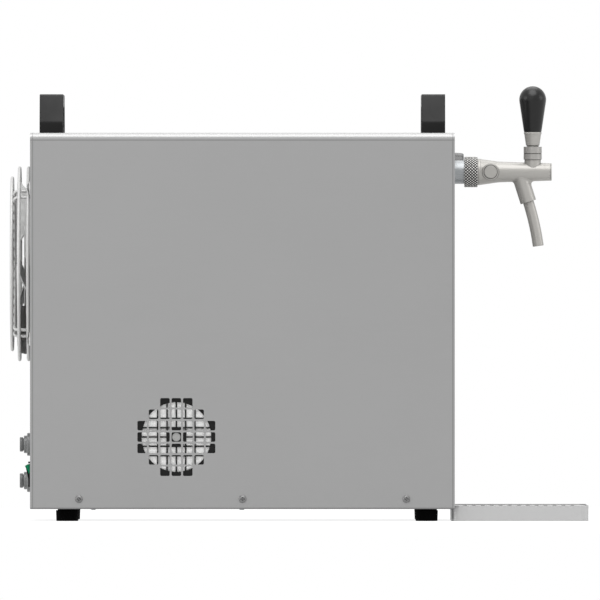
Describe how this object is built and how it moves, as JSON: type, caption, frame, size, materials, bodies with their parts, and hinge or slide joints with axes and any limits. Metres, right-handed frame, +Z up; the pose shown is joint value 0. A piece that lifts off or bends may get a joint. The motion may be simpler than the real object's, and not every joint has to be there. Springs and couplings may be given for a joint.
{
  "type": "soda water dispenser",
  "caption": "Over-counter soda water cooler in a sheet steel casing with a lever tap, carrying handles, a rear fan behind a wire guard and a loose drip tray.",
  "frame": {"origin": "centre of the whole object's box, on the surface that it stands on", "axes": "+X towards the tap and the drip tray, +Y towards the plain side away from the grille, +Z up"},
  "size_m": [0.5781, 0.2644, 0.435],
  "materials": {
    "sheet_steel": "satin",
    "zinc_steel": "satin",
    "tap_metal": "satin",
    "black_plastic": "matte",
    "grip_plastic": "gloss",
    "green_plastic": "gloss",
    "white_plastic": "matte",
    "grey_plastic": "matte",
    "rubber": "matte",
    "wire": "satin",
    "fan_metal": "satin",
    "fins": "satin",
    "copper": "satin",
    "black_paint": "semi-gloss",
    "insulation": "matte",
    "filter_mat": "matte",
    "tray_steel": "satin",
    "brass": "satin"
  },
  "bodies": {
    "casing": {"wrap_cover": "sheet_steel", "front_panel": "sheet_steel", "rear_panel": "sheet_steel", "base_pan": "zinc_steel", "cover_screws": "zinc_steel", "handle_screws": "zinc_steel", "foot_studs": "zinc_steel", "base_screws": "zinc_steel", "guard_screws": "zinc_steel", "fan_shroud": "zinc_steel", "fan_stand": "zinc_steel", "panel_nuts": "zinc_steel", "lever_pin": "zinc_steel", "carbonator": "zinc_steel", "tap_shank": "tap_metal", "coupling_nut": "tap_metal", "tap_body": "tap_metal", "tap_end_cap": "tap_metal", "spout_tube": "tap_metal", "lever_collar": "tap_metal", "handle_front": "black_plastic", "handle_rear": "black_plastic", "switch_frame": "black_plastic", "mains_inlet": "black_plastic", "side_fan_frame": "black_plastic", "side_fan_guard": "black_plastic", "thermostat_body": "white_plastic", "water_lines": "white_plastic", "water_fitting": "grey_plastic", "co2_fitting": "grey_plastic", "foot_front_left": "rubber", "foot_front_right": "rubber", "foot_rear_left": "rubber", "foot_rear_right": "rubber", "tap_seal": "rubber", "compressor_mounts": "rubber", "wire_guard": "wire", "condenser_fins": "fins", "condenser_tube": "copper", "refrigerant_lines": "copper", "compressor": "black_paint", "pump": "black_paint", "fan_motor": "black_paint", "cooling_block": "insulation", "side_filter": "filter_mat", "inlet_pins": "brass"},
    "lever": {"tap_lever": "tap_metal", "lever_ferrule": "tap_metal", "lever_grip": "grip_plastic"},
    "plunger": {"tap_plunger": "white_plastic"},
    "compensator": {"compensator_knob": "tap_metal"},
    "flow_cone": {"compensator_cone": "white_plastic"},
    "thermostat": {"thermostat_knob": "black_plastic"},
    "rear_fan": {"fan_blade": "fan_metal"},
    "side_fan": {"side_fan_rotor": "black_plastic"},
    "rocker": {"switch_rocker": "green_plastic"},
    "water_release": {"water_collet": "grey_plastic"},
    "co2_release": {"co2_collet": "grey_plastic"},
    "tray": {"drip_tray": "tray_steel"},
    "grid": {"drip_grid": "tray_steel"}
  },
  "joints": [
    {"name": "lever_tilt", "type": "hinge", "parent": "casing", "child": "lever", "pos_m": [0.23425, 0, 0.372], "axis": [0, 1, 0], "range_deg": [-12, 18]},
    {"name": "plunger_slide", "type": "slide", "parent": "casing", "child": "plunger", "axis": [1, 0, 0], "range_m": [-0.0073, 0.0049]},
    {"name": "compensator_turn", "type": "hinge", "parent": "casing", "child": "compensator", "pos_m": [0.19195, -0.012, 0.349], "axis": [0, 1, 0], "range_deg": [0, 184]},
    {"name": "cone_slide", "type": "slide", "parent": "casing", "child": "flow_cone", "axis": [1, 0, 0], "range_m": [0, 0.003]},
    {"name": "thermostat_turn", "type": "hinge", "parent": "casing", "child": "thermostat", "pos_m": [0.15785, 0.06, 0.357], "axis": [1, 0, 0], "range_deg": [-140, 140]},
    {"name": "rear_fan_spin", "type": "hinge", "parent": "casing", "child": "rear_fan", "pos_m": [-0.26685, 0, 0.257], "axis": [1, 0, 0], "continuous": true},
    {"name": "side_fan_spin", "type": "hinge", "parent": "casing", "child": "side_fan", "pos_m": [-0.12235, -0.111, 0.084], "axis": [0, 1, 0], "continuous": true},
    {"name": "rocker_tilt", "type": "hinge", "parent": "casing", "child": "rocker", "pos_m": [-0.26685, -0.1, 0.0467], "axis": [0, 1, 0], "range_deg": [0, 24]},
    {"name": "water_release_push", "type": "slide", "parent": "casing", "child": "water_release", "axis": [1, 0, 0], "range_m": [0, 0.0007], "stiffness_N_per_m": 400},
    {"name": "co2_release_push", "type": "slide", "parent": "casing", "child": "co2_release", "axis": [1, 0, 0], "range_m": [0, 0.0007], "stiffness_N_per_m": 400},
    {"name": "tray_pull", "type": "slide", "parent": "casing", "child": "tray", "axis": [1, 0, 0], "range_m": [0, 0.06]},
    {"name": "grid_lift", "type": "slide", "parent": "tray", "child": "grid", "axis": [0, 0, 1], "range_m": [0, 0.03]}
  ],
  "couplings": [
    {"joint": "plunger_slide", "follows": "lever_tilt", "m_per_rad": -0.023},
    {"joint": "compensator_turn", "follows": "cone_slide", "rad_per_m": 1047.2}
  ]
}
